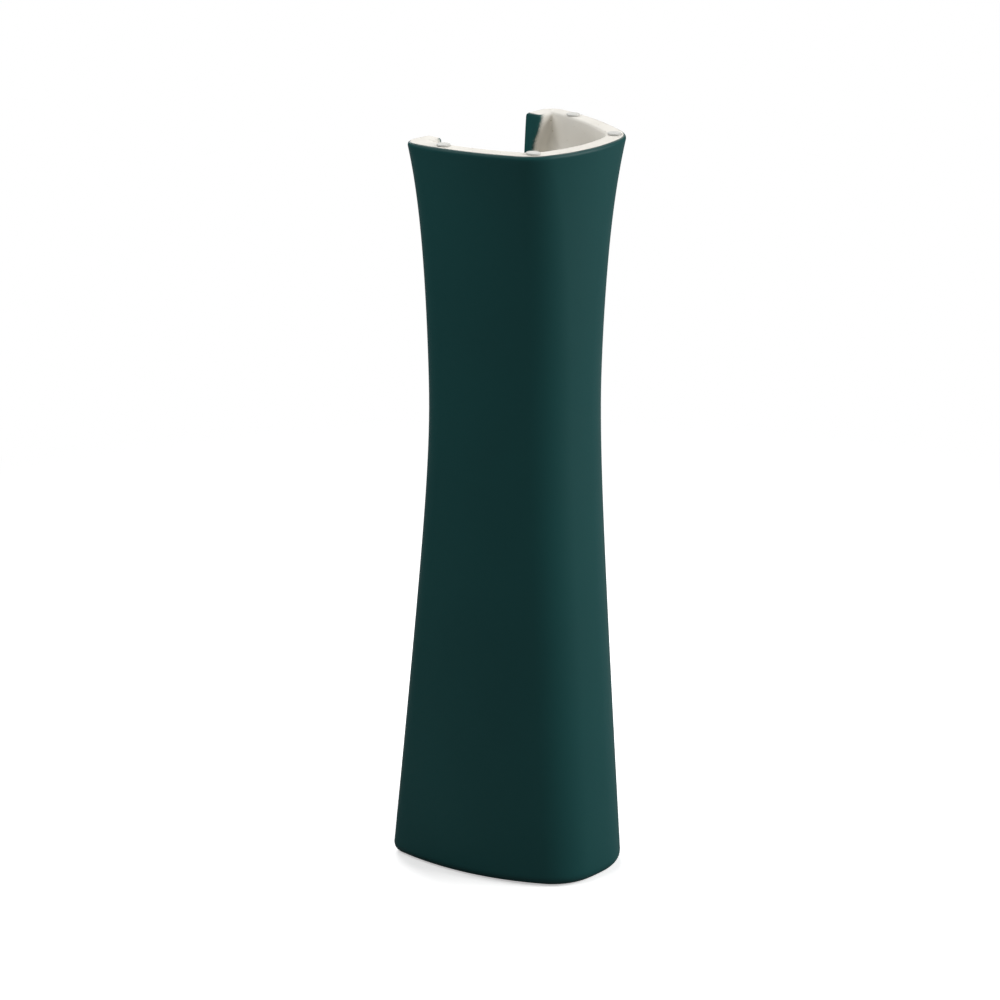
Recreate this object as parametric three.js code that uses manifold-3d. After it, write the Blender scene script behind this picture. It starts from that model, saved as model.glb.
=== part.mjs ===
// Washbasin column: a hollow glazed ceramic pedestal, open at the back, with its floor fixings.
// Millimetres, +Z up. The origin is on the floor, in the middle of the foot's width and depth.
// The rounded nose faces -Y, and the open back, towards the wall, faces +Y.

import * as THREE from "three";
import { mergeVertices } from "three/addons/utils/BufferGeometryUtils.js";
import Module from "manifold-3d";

const wasm = await Module();
wasm.setup();

// ---- Driving dimensions of the column ----

const COLUMN_HEIGHT = 680;
const WAIST_HEIGHT = 448; // the narrowest height
const FOOT_WIDTH = 191;
const FOOT_DEPTH = 183;
const WAIST_WIDTH = 159;
const WAIST_DEPTH = 119;
const TOP_WIDTH = 191;
const TOP_DEPTH = 139.5;
const WAIST_SETBACK = 28.5; // how far the nose stands behind the foot's nose at the waist
const TOP_SETBACK = 16.5; // and at the top

const NOSE_RADIUS = { foot: 52.5, waist: 46.5, top: 42 };
const NOSE_SPREAD = { foot: 16.5, waist: 16, top: 62.5 }; // between the centres of the nose's corners
const FRONT_BOW_RADIUS = 145; // the bow of the nose's front, between its corners
const SIDE_RADIUS = 250; // the gentle bow of each side, seen from above
const BACK_CORNER_RADIUS = 16;
const LEAST_CORNER_RADIUS = 2; // on the inside, where the wall takes up the corner

const LOWER_SOFTNESS = 0.2; // how gradually the straight lower flare starts
const UPPER_POWER = 1.6; // the curve of the upper flare
const LIP_SHARE = 0.39; // the share of the upper flare that comes late, as the lip turns out

const WALL = 10;
const RETURN_WIDTH = 34; // each back return, from the side to the gap between them
const FOOT_ROUND = 10; // the rolled lower edge
const FOOT_LAND = 12; // width of the flat ring that the column stands on
const FOOT_RISE = 48; // height over which the foot thins to the wall
const LIP_ROUND = 4; // the rounded upper edge
const RIM_WIDTH = 18; // the turned-in rim that carries the basin
const RIM_DROP = 34; // height over which the rim thickens

const TIE_HEIGHT = 36; // the low tie between the two returns
const TIE_THICKNESS = 14;

// ---- Driving dimensions of the fixings ----

const SCREW_SIDE = 45; // from the middle plane to each floor screw
const SCREW_FROM_BACK = 48; // from the foot's back edge to the floor screws
const LUG_RADIUS = 17;
const LUG_HEIGHT = 22;
const LUG_HOLE_RADIUS = 6;

const SHANK_RADIUS = 3;
const HEAD_RADIUS = 6.5;
const HEAD_HEIGHT = 4.5;
const HEAD_CROWN = 0.8; // how far the head's edge is eased
const SOCKET_RADIUS = 2.9;
const SOCKET_DEPTH = 2.6;
const SCREW_TIP_LIFT = 1; // the modelled screw ends this far above the floor

const BUSH_FLANGE_RADIUS = 10;
const BUSH_FLANGE_HEIGHT = 2.4;
const BUSH_DEPTH = 12; // how far the bush reaches into the lug
const BUSH_CHAMFER = 0.6;

const CAP_WALL = 1.4;
const CAP_HEADROOM = 1.6; // free height over the screw's head
const CAP_SHOULDER_DROP = 1; // the dome starts this far below the top of the screw's head

const BUFFER_RADIUS = 6;
const BUFFER_HEIGHT = 1.5;
const BUFFER_CHAMFER = 0.4;
const FRONT_BUFFER_ANGLE = 40; // degrees round each nose corner from the front
const REAR_BUFFER_SHARE = 0.75; // how far along each side, from the nose, the rear buffer stands

const GAP = 0.3; // between pieces that touch

// ---- Resolution ----

const NOSE_STEPS = 6;
const SIDE_STEPS = 5;
const CORNER_STEPS = 4;
const EDGE_STEPS = 4;
const BODY_STEPS = 22;
const ROUND_SEGMENTS = 24;
const BOW_STEPS = 2;
const DOME_STEPS = 5;
const CUT_OVERRUN = 1; // how far a cutting bar runs past each face
const END_CROWDING = 0.1; // how much closer the sections stand towards both ends

// ---- Materials ----

const glaze = new THREE.MeshStandardMaterial({ color: 0x174949, roughness: 0.3, metalness: 0 });
const steel = new THREE.MeshStandardMaterial({ color: 0xa9abad, roughness: 0.35, metalness: 1 });
const nylon = new THREE.MeshStandardMaterial({ color: 0xe4e2da, roughness: 0.5, metalness: 0 });
const capPlastic = new THREE.MeshStandardMaterial({ color: 0x174949, roughness: 0.35, metalness: 0 });
const rubber = new THREE.MeshStandardMaterial({ color: 0xcbcbc7, roughness: 0.85, metalness: 0 });

// ---- The column's outline at any height ----

function smoothStep(t) {
  const c = Math.min(Math.max(t, 0), 1);
  return c * c * (3 - 2 * c);
}

// Share of the way from the waist to the foot's size, 0 at the waist and 1 at the floor.
function lowerFlare(z) {
  const t = Math.max(0, (WAIST_HEIGHT - z) / WAIST_HEIGHT);
  const s = LOWER_SOFTNESS;
  return (Math.hypot(t, s) - s) / (Math.hypot(1, s) - s);
}

// Share of the way from the waist to the top's size, 0 at the waist and 1 at the top.
function upperFlare(z) {
  const t = Math.max(0, (z - WAIST_HEIGHT) / (COLUMN_HEIGHT - WAIST_HEIGHT));
  return (1 - LIP_SHARE) * t ** UPPER_POWER + LIP_SHARE * t ** (3 * UPPER_POWER);
}

function sized(foot, waist, top, z) {
  return waist + (foot - waist) * lowerFlare(z) + (top - waist) * upperFlare(z);
}

// The plan's sizes at height z: half width, front and back, and the nose's corners.
function stationAt(z) {
  const footFront = -FOOT_DEPTH / 2;
  const front = sized(footFront, footFront + WAIST_SETBACK, footFront + TOP_SETBACK, z);
  return {
    halfWidth: sized(FOOT_WIDTH, WAIST_WIDTH, TOP_WIDTH, z) / 2,
    front,
    back: front + sized(FOOT_DEPTH, WAIST_DEPTH, TOP_DEPTH, z),
    noseRadius: sized(NOSE_RADIUS.foot, NOSE_RADIUS.waist, NOSE_RADIUS.top, z),
    noseHalfSpread: sized(NOSE_SPREAD.foot, NOSE_SPREAD.waist, NOSE_SPREAD.top, z) / 2,
  };
}

// Points along an arc, by angle from the -Y direction towards +X.
function arcPoints(centre, radius, from, to, steps) {
  const points = [];
  for (let i = 0; i <= steps; i++) {
    const a = from + ((to - from) * i) / steps;
    points.push(new THREE.Vector2(centre.x + radius * Math.sin(a), centre.y - radius * Math.cos(a)));
  }
  return points;
}

// The four arcs of one side of the plan, taken in by inset: front bow, nose corner, bowed side and
// back corner. Each runs on smoothly from the one before.
function planArcs(z, inset) {
  const s = stationAt(z);
  const noseRadius = s.noseRadius - inset;
  const cornerRadius = Math.max(BACK_CORNER_RADIUS - inset, LEAST_CORNER_RADIUS);
  const sideRadius = SIDE_RADIUS - inset;
  const bow = new THREE.Vector2(0, s.front + FRONT_BOW_RADIUS);
  const bowTurn = Math.asin(s.noseHalfSpread / (FRONT_BOW_RADIUS - s.noseRadius));
  const noseReach = (FRONT_BOW_RADIUS - s.noseRadius) * Math.cos(bowTurn);
  const nose = new THREE.Vector2(s.noseHalfSpread, bow.y - noseReach);
  const corner = new THREE.Vector2(s.halfWidth - inset - cornerRadius, s.back - inset - cornerRadius);
  // The side's arc touches both corners from outside, so its centre is a known distance from each.
  const along = corner.clone().sub(nose);
  const span = along.length();
  const toNose = sideRadius - noseRadius;
  const toCorner = sideRadius - cornerRadius;
  const reach = (toNose ** 2 - toCorner ** 2 + span ** 2) / (2 * span);
  const across = Math.sqrt(toNose ** 2 - reach ** 2);
  along.normalize();
  const side = new THREE.Vector2(
    nose.x + along.x * reach - along.y * across,
    nose.y + along.y * reach + along.x * across,
  );
  const angleFrom = (point) => Math.atan2(point.x - side.x, side.y - point.y);
  return {
    bow: { centre: bow, radius: FRONT_BOW_RADIUS - inset, from: 0, to: bowTurn },
    nose: { centre: nose, radius: noseRadius, from: bowTurn, to: angleFrom(nose) },
    side: { centre: side, radius: sideRadius, from: angleFrom(nose), to: angleFrom(corner) },
    corner: { centre: corner, radius: cornerRadius, from: angleFrom(corner), to: Math.PI },
  };
}

// Half of the plan, from the middle of the nose round to the end of the back return.
function halfOutline(z, inset) {
  const arcs = planArcs(z, inset);
  const s = stationAt(z);
  const draw = (arc, steps) => arcPoints(arc.centre, arc.radius, arc.from, arc.to, steps);
  return [
    ...draw(arcs.bow, BOW_STEPS),
    ...draw(arcs.nose, NOSE_STEPS).slice(1),
    ...draw(arcs.side, SIDE_STEPS).slice(1),
    ...draw(arcs.corner, CORNER_STEPS).slice(1),
    new THREE.Vector2(s.halfWidth - RETURN_WIDTH, s.back - inset),
  ];
}

// The whole plan as an open line, from the end of the left return round the nose to the right one.
function openOutline(z, inset) {
  const right = halfOutline(z, inset);
  const left = right.slice(1).reverse().map((p) => new THREE.Vector2(-p.x, p.y));
  return [...left, ...right];
}

// ---- The column's wall ----

// How far the outside is taken in by the rolled foot and the rounded lip.
function outerInset(z) {
  const low = Math.max(0, FOOT_ROUND - z);
  const high = Math.max(0, LIP_ROUND - (COLUMN_HEIGHT - z));
  const rolled = (radius, over) => radius - Math.sqrt(Math.max(0, radius ** 2 - over ** 2));
  return rolled(FOOT_ROUND, low) + rolled(LIP_ROUND, high);
}

// How far the inside is taken in: the wall, thicker towards the foot and under the rim.
function innerInset(z) {
  const footExtra = FOOT_ROUND + FOOT_LAND - WALL;
  const foot = footExtra * smoothStep(1 - z / FOOT_RISE);
  const rim = (RIM_WIDTH - WALL) * smoothStep((z - COLUMN_HEIGHT + RIM_DROP) / RIM_DROP);
  return WALL + foot + rim;
}

// Heights of the sections, close together where an edge is rounded or a thickness changes.
function sectionHeights() {
  const heights = [];
  for (let i = 0; i < EDGE_STEPS; i++) {
    heights.push(FOOT_ROUND * (1 - Math.cos((Math.PI / 2) * (i / EDGE_STEPS))));
  }
  const bodyTop = COLUMN_HEIGHT - LIP_ROUND;
  for (let i = 0; i <= BODY_STEPS; i++) {
    const t = i / BODY_STEPS;
    const eased = t - END_CROWDING * Math.sin(2 * Math.PI * t);
    heights.push(FOOT_ROUND + (bodyTop - FOOT_ROUND) * eased);
  }
  for (let i = 1; i <= EDGE_STEPS; i++) {
    heights.push(bodyTop + LIP_ROUND * Math.sin((Math.PI / 2) * (i / EDGE_STEPS)));
  }
  return heights;
}

// Skins a stack of closed rings, each with the same number of points, into one closed solid.
// caps lists the triangles that close a ring, as it is seen from above.
function skinRings(rings, caps) {
  const count = rings[0].length;
  const positions = rings.flat().flatMap((p) => [p.x, p.y, p.z]);
  const index = [];
  for (let k = 0; k + 1 < rings.length; k++) {
    for (let j = 0; j < count; j++) {
      const a = k * count + j;
      const b = k * count + ((j + 1) % count);
      index.push(a, b, b + count, a, b + count, a + count);
    }
  }
  const last = (rings.length - 1) * count;
  for (const [a, b, c] of caps) {
    index.push(a, c, b);
    index.push(last + a, last + b, last + c);
  }
  const geometry = new THREE.BufferGeometry();
  geometry.setAttribute("position", new THREE.Float32BufferAttribute(positions, 3));
  geometry.setIndex(index);
  return geometry;
}

// The bare wall: an outer line and an inner line at each height, joined end to end.
function wallGeometry() {
  const at = (points, z) => points.map((p) => new THREE.Vector3(p.x, p.y, z));
  const rings = sectionHeights().map((z) => [
    ...at(openOutline(z, outerInset(z)), z),
    ...at(openOutline(z, innerInset(z)), z).reverse(),
  ]);
  const total = rings[0].length;
  const caps = [];
  for (let j = 0; j + 1 < total / 2; j++) {
    const inner = total - 1 - j;
    caps.push([j, j + 1, inner - 1], [j, inner - 1, inner]);
  }
  return skinRings(rings, caps);
}

// A solid core that lies inside the wall's thickness, to trim what is joined to the wall.
function coreGeometry(topHeight) {
  const heights = sectionHeights().filter((z) => z < topHeight);
  const depth = FOOT_LAND / 2;
  const rings = heights.map((z) => {
    const half = halfOutline(z, outerInset(z) + depth).slice(0, -1);
    const whole = [...half.slice(1).reverse().map((p) => new THREE.Vector2(-p.x, p.y)), ...half];
    return whole.map((p) => new THREE.Vector3(p.x, p.y, z));
  });
  const caps = [];
  for (let j = 1; j + 1 < rings[0].length; j++) caps.push([0, j, j + 1]);
  return skinRings(rings, caps);
}

// ---- Booleans ----

function solid(geometry) {
  const bare = geometry.index ? geometry.toNonIndexed() : geometry.clone();
  bare.deleteAttribute("normal");
  bare.deleteAttribute("uv");
  const merged = mergeVertices(bare, 1e-4);
  const mesh = new wasm.Mesh({
    numProp: 3,
    vertProperties: new Float32Array(merged.attributes.position.array),
    triVerts: new Uint32Array(merged.index.array),
  });
  return new wasm.Manifold(mesh);
}

function geometryOf(manifold) {
  const mesh = manifold.getMesh();
  const geometry = new THREE.BufferGeometry();
  geometry.setAttribute("position", new THREE.BufferAttribute(mesh.vertProperties, mesh.numProp));
  geometry.setIndex(new THREE.BufferAttribute(mesh.triVerts, 1));
  geometry.computeVertexNormals();
  return geometry;
}

// ---- Floor lugs, tie and the finished column ----

// Where the floor screw of one side stands; side is -1 for left and +1 for right.
function screwPlace(side) {
  return new THREE.Vector3(side * SCREW_SIDE, FOOT_DEPTH / 2 - SCREW_FROM_BACK, 0);
}

function extrudeUp(shape, bottom, height) {
  const options = { depth: height, bevelEnabled: false, curveSegments: ROUND_SEGMENTS / 2 };
  return new THREE.ExtrudeGeometry(shape, options).translate(0, 0, bottom);
}

// A tongue that runs from the side wall to a round end about the screw.
function lugGeometry(side) {
  const place = screwPlace(side);
  const shape = new THREE.Shape();
  const wallSide = side * FOOT_WIDTH / 2;
  shape.moveTo(wallSide, place.y - LUG_RADIUS);
  shape.lineTo(place.x, place.y - LUG_RADIUS);
  shape.absarc(place.x, place.y, LUG_RADIUS, -Math.PI / 2, Math.PI / 2, side > 0);
  shape.lineTo(wallSide, place.y + LUG_RADIUS);
  shape.closePath();
  return extrudeUp(shape, 0, LUG_HEIGHT);
}

function roundBar(radius, bottom, height, place) {
  const bar = new THREE.CylinderGeometry(radius, radius, height, ROUND_SEGMENTS);
  return bar.rotateX(Math.PI / 2).translate(place.x, place.y, bottom + height / 2);
}

// The low bar that joins the two returns behind the pipes.
function tieGeometry() {
  const reach = FOOT_WIDTH / 2 - RETURN_WIDTH / 2;
  const back = FOOT_DEPTH / 2 - FOOT_ROUND;
  const shape = new THREE.Shape();
  shape.moveTo(-reach, back - TIE_THICKNESS);
  shape.lineTo(reach, back - TIE_THICKNESS);
  shape.lineTo(reach, back);
  shape.lineTo(-reach, back);
  shape.closePath();
  return extrudeUp(shape, 0, TIE_HEIGHT);
}

function columnGeometry() {
  const core = solid(coreGeometry(FOOT_RISE + TIE_HEIGHT));
  let column = solid(wallGeometry()).add(solid(tieGeometry()).intersect(core));
  for (const side of [-1, 1]) {
    column = column.add(solid(lugGeometry(side)).intersect(core));
    const length = LUG_HEIGHT + 2 * CUT_OVERRUN;
    const hole = roundBar(LUG_HOLE_RADIUS, -CUT_OVERRUN, length, screwPlace(side));
    column = column.subtract(solid(hole));
  }
  return geometryOf(column);
}

// ---- Fixings, each turned about its own axis ----

function turned(profile) {
  const points = profile.map(([radius, z]) => new THREE.Vector2(radius, z));
  return new THREE.LatheGeometry(points, ROUND_SEGMENTS).rotateX(Math.PI / 2);
}

const flangeTop = LUG_HEIGHT + GAP + BUSH_FLANGE_HEIGHT;
const headBottom = flangeTop + GAP;
const headTop = headBottom + HEAD_HEIGHT;

function screwGeometry() {
  const body = turned([
    [0, SCREW_TIP_LIFT],
    [SHANK_RADIUS, SCREW_TIP_LIFT],
    [SHANK_RADIUS, headBottom],
    [HEAD_RADIUS, headBottom],
    [HEAD_RADIUS, headTop - 2 * HEAD_CROWN],
    [HEAD_RADIUS - HEAD_CROWN, headTop - HEAD_CROWN / 2],
    [SOCKET_RADIUS + HEAD_CROWN, headTop],
    [0, headTop],
  ]);
  const socket = new THREE.CylinderGeometry(SOCKET_RADIUS, SOCKET_RADIUS, 2 * SOCKET_DEPTH, 6);
  socket.rotateX(Math.PI / 2).translate(0, 0, headTop);
  return geometryOf(solid(body).subtract(solid(socket)));
}

function bushGeometry() {
  const bore = SHANK_RADIUS + GAP;
  const sleeve = LUG_HOLE_RADIUS - GAP;
  const seat = LUG_HEIGHT + GAP;
  return turned([
    [bore, LUG_HEIGHT - BUSH_DEPTH],
    [sleeve, LUG_HEIGHT - BUSH_DEPTH],
    [sleeve, seat],
    [BUSH_FLANGE_RADIUS, seat],
    [BUSH_FLANGE_RADIUS, flangeTop - BUSH_CHAMFER],
    [BUSH_FLANGE_RADIUS - BUSH_CHAMFER, flangeTop],
    [bore, flangeTop],
    [bore, LUG_HEIGHT - BUSH_DEPTH],
  ]);
}

// A domed cover that snaps over the bush's flange and hides the screw's head.
function capGeometry() {
  const inner = BUSH_FLANGE_RADIUS + GAP;
  const outer = inner + CAP_WALL;
  const bottom = LUG_HEIGHT + GAP;
  const shoulder = headTop - CAP_SHOULDER_DROP;
  const innerCrown = headTop + CAP_HEADROOM;
  const outerCrown = innerCrown + CAP_WALL;
  const dome = (radius, crown, k) => {
    const a = (Math.PI / 2) * (k / DOME_STEPS);
    return [radius * Math.cos(a), shoulder + (crown - shoulder) * Math.sin(a)];
  };
  const steps = Array.from({ length: DOME_STEPS }, (_, k) => k);
  return turned([
    [inner, bottom],
    [outer, bottom],
    ...steps.map((k) => dome(outer, outerCrown, k)),
    [0, outerCrown],
    [0, innerCrown],
    ...steps.map((k) => dome(inner, innerCrown, k)).reverse(),
    [inner, bottom],
  ]);
}

function bufferGeometry() {
  const bottom = COLUMN_HEIGHT + GAP;
  const top = bottom + BUFFER_HEIGHT;
  return turned([
    [0, bottom],
    [BUFFER_RADIUS, bottom],
    [BUFFER_RADIUS, top - BUFFER_CHAMFER],
    [BUFFER_RADIUS - BUFFER_CHAMFER, top],
    [0, top],
  ]);
}

// ---- Where the buffers stand: on the middle of the rim ----

function frontBufferPlace(side) {
  const middle = (LIP_ROUND + RIM_WIDTH) / 2;
  const { nose } = planArcs(COLUMN_HEIGHT, middle);
  const a = THREE.MathUtils.degToRad(FRONT_BUFFER_ANGLE);
  const x = nose.centre.x + nose.radius * Math.sin(a);
  return new THREE.Vector3(side * x, nose.centre.y - nose.radius * Math.cos(a), 0);
}

function rearBufferPlace(side) {
  const middle = (LIP_ROUND + RIM_WIDTH) / 2;
  const { side: flank } = planArcs(COLUMN_HEIGHT, middle);
  const a = THREE.MathUtils.lerp(flank.from, flank.to, REAR_BUFFER_SHARE);
  const x = flank.centre.x + flank.radius * Math.sin(a);
  return new THREE.Vector3(side * x, flank.centre.y - flank.radius * Math.cos(a), 0);
}

// ---- Assembly ----

const group = new THREE.Group();

function addPiece(name, geometry, material, place = new THREE.Vector3()) {
  const mesh = new THREE.Mesh(geometry, material);
  mesh.name = name;
  mesh.position.copy(place);
  group.add(mesh);
}

addPiece("column_shell", columnGeometry(), glaze);
for (const [word, side] of [["left", -1], ["right", 1]]) {
  const screw = screwPlace(side);
  addPiece(`floor_screw_${word}`, screwGeometry(), steel, screw);
  addPiece(`screw_bush_${word}`, bushGeometry(), nylon, screw);
  addPiece(`screw_cap_${word}`, capGeometry(), capPlastic, screw);
  addPiece(`basin_buffer_front_${word}`, bufferGeometry(), rubber, frontBufferPlace(side));
  addPiece(`basin_buffer_rear_${word}`, bufferGeometry(), rubber, rearBufferPlace(side));
}

export default group;
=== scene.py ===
"""Looks for a washbasin column: a glazed ceramic pedestal with its floor fixings and buffers."""

import logging
import math
from collections.abc import Callable, Sequence
from dataclasses import dataclass, field
from enum import Enum

import bpy
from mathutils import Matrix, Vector


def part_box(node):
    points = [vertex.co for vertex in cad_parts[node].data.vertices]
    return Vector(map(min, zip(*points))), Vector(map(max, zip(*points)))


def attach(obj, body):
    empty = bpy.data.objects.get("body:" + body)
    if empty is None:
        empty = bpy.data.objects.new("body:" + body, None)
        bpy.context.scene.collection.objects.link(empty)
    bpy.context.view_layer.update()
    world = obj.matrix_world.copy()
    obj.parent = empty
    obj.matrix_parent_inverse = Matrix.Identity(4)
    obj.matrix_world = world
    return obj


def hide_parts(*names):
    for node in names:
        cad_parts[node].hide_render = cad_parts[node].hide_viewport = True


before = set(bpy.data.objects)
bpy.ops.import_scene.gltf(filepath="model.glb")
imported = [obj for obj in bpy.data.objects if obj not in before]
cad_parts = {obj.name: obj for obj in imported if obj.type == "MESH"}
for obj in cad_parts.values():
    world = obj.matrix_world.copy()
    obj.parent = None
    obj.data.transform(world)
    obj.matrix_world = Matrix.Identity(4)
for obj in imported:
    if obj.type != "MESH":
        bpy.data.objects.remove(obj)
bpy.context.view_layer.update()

log = logging.getLogger("washbasin_column")

ROOT_BODY = "root"
QUARTER = math.pi / 2
SIXTH = math.pi / 3

Point = tuple[float, float, float]
Ring = list[Point]
Colour = tuple[float, float, float, float]


class Slot(Enum):
    """The record's material slots."""

    GLAZE = "green_glaze"
    STEEL = "screw_steel"
    NYLON = "bush_nylon"
    CAP = "cap_plastic"
    RUBBER = "buffer_rubber"


class Side(Enum):
    """The two halves of the column, by the sign of their X."""

    LEFT = -1
    RIGHT = 1

    @property
    def word(self) -> str:
        """The side's name as the frame's nodes write it."""
        return self.name.lower()


# ---------------------------------------------------------------------------
# Meshes
# ---------------------------------------------------------------------------


def smooth_step(share: float) -> float:
    """Eases a share from 0 to 1, level at both ends."""
    held = min(max(share, 0.0), 1.0)
    return held * held * (3.0 - 2.0 * held)


def rolled(radius: float, over: float) -> float:
    """How far a quarter round of that radius has turned in, at a height of over past its start."""
    reach = min(max(over, 0.0), radius)
    return radius - math.sqrt(radius * radius - reach * reach)


def make_object(
    name: str,
    points: Sequence[Point],
    faces: Sequence[Sequence[int]],
    sharp_degrees: float = 40.0,
) -> bpy.types.Object:
    """Makes a smooth-shaded mesh object and links it to the scene.

    Args:
        name: The piece's name.
        points: Vertices, in metres.
        faces: Vertex numbers of each face, anticlockwise from outside.
        sharp_degrees: Edges that turn by more than this stay crisp.

    Returns:
        The new object.
    """
    mesh = bpy.data.meshes.new(name)
    mesh.from_pydata(points, [], faces)
    mesh.polygons.foreach_set("use_smooth", [True] * len(mesh.polygons))
    mesh.set_sharp_from_angle(angle=math.radians(sharp_degrees))
    mesh.validate()
    piece = bpy.data.objects.new(name, mesh)
    bpy.context.scene.collection.objects.link(piece)
    return piece


def side_faces(ring_count: int, ring_size: int) -> list[list[int]]:
    """Quads that join each ring to the one above it.

    Args:
        ring_count: How many rings are stacked.
        ring_size: How many points each ring has.

    Returns:
        The quads, facing out when each ring runs anticlockwise from above.
    """
    faces = []
    for level in range(ring_count - 1):
        start = level * ring_size
        for j in range(ring_size):
            a, b = start + j, start + (j + 1) % ring_size
            faces.append([a, b, b + ring_size, a + ring_size])
    return faces


def skin(name: str, rings: Sequence[Ring], closed_loop: bool = False) -> bpy.types.Object:
    """Skins rings into one closed piece.

    Args:
        name: The piece's name.
        rings: Rings with the same number of points each, anticlockwise from above.
        closed_loop: Joins the last ring to the first, as round a hole, in place of two end faces.

    Returns:
        The new object.
    """
    size = len(rings[0])
    points = [point for ring in rings for point in ring]
    faces = side_faces(len(rings), size)
    last = (len(rings) - 1) * size
    if closed_loop:
        faces += [[last + j, last + (j + 1) % size, (j + 1) % size, j] for j in range(size)]
    else:
        faces.append(list(range(size - 1, -1, -1)))
        faces.append([last + j for j in range(size)])
    return make_object(name, points, faces)


@dataclass
class Profile:
    """The outline of a turned piece: radius and height pairs, drawn from the lowest point out."""

    steps: int = 5
    points: list[tuple[float, float]] = field(default_factory=list)

    def to(self, radius: float, height: float) -> "Profile":
        """Adds a straight stretch to a point."""
        self.points.append((radius, height))
        return self

    def round(self, centre: tuple[float, float], radius: float, start: float, end: float) -> "Profile":
        """Adds an arc.

        Args:
            centre: The arc's centre, as radius and height.
            radius: The arc's radius.
            start: Its first angle in degrees, 0 pointing outward and 90 up.
            end: Its last angle in degrees.

        Returns:
            The profile itself, so that stretches can be chained.
        """
        for k in range(self.steps + 1):
            a = math.radians(start + (end - start) * k / self.steps)
            self.points.append((centre[0] + radius * math.cos(a), centre[1] + radius * math.sin(a)))
        return self

    def rings(self, centre: Vector, segments: int = 48) -> list[Ring]:
        """Turns the profile about a vertical axis.

        Args:
            centre: A point on the axis, whose height is the profile's zero.
            segments: Points on each ring.

        Returns:
            One ring for each point of the profile.
        """
        return [round_ring(centre, radius, height, segments) for radius, height in self.points]


def round_ring(centre: Vector, radius: float, height: float, segments: int) -> Ring:
    """A level ring of points about a vertical axis.

    Args:
        centre: A point on the axis.
        radius: The ring's radius.
        height: Its height above that point.
        segments: How many points it has.

    Returns:
        The ring, anticlockwise from above.
    """
    return shaped_ring(centre, height, segments, lambda turn: radius)


def shaped_ring(
    centre: Vector, height: float, segments: int, radius_at: Callable[[float], float]
) -> Ring:
    """A level ring whose radius changes with the angle.

    Args:
        centre: A point on the axis.
        height: Its height above that point.
        segments: How many points it has.
        radius_at: The radius at an angle.

    Returns:
        The ring, anticlockwise from above.
    """
    ring = []
    for k in range(segments):
        a = 2.0 * math.pi * k / segments
        radius = radius_at(a)
        x, y = centre.x + radius * math.cos(a), centre.y + radius * math.sin(a)
        ring.append((x, y, centre.z + height))
    return ring


def node_centre(node: str) -> Vector:
    """The middle of a frame node's underside."""
    low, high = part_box(node)
    return Vector(((low.x + high.x) / 2, (low.y + high.y) / 2, low.z))


def node_size(node: str) -> Vector:
    """A frame node's width, depth and height."""
    low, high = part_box(node)
    return high - low


def settle(piece: bpy.types.Object, slot: Slot, finish: bpy.types.Material, *nodes: str) -> None:
    """Dresses a piece, fixes it to the column's body and lets it stand for frame nodes.

    Args:
        piece: The finished piece.
        slot: The record's slot for the piece; not used.
        finish: Its material.
        *nodes: The frame nodes that it stands for.
    """
    piece.data.materials.append(finish)
    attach(piece, ROOT_BODY)
    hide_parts(*nodes)
    log.info("%s: %d faces, stands for %s", piece.name, len(piece.data.polygons), ", ".join(nodes))


# ---------------------------------------------------------------------------
# Shared shader groups
# ---------------------------------------------------------------------------


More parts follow.
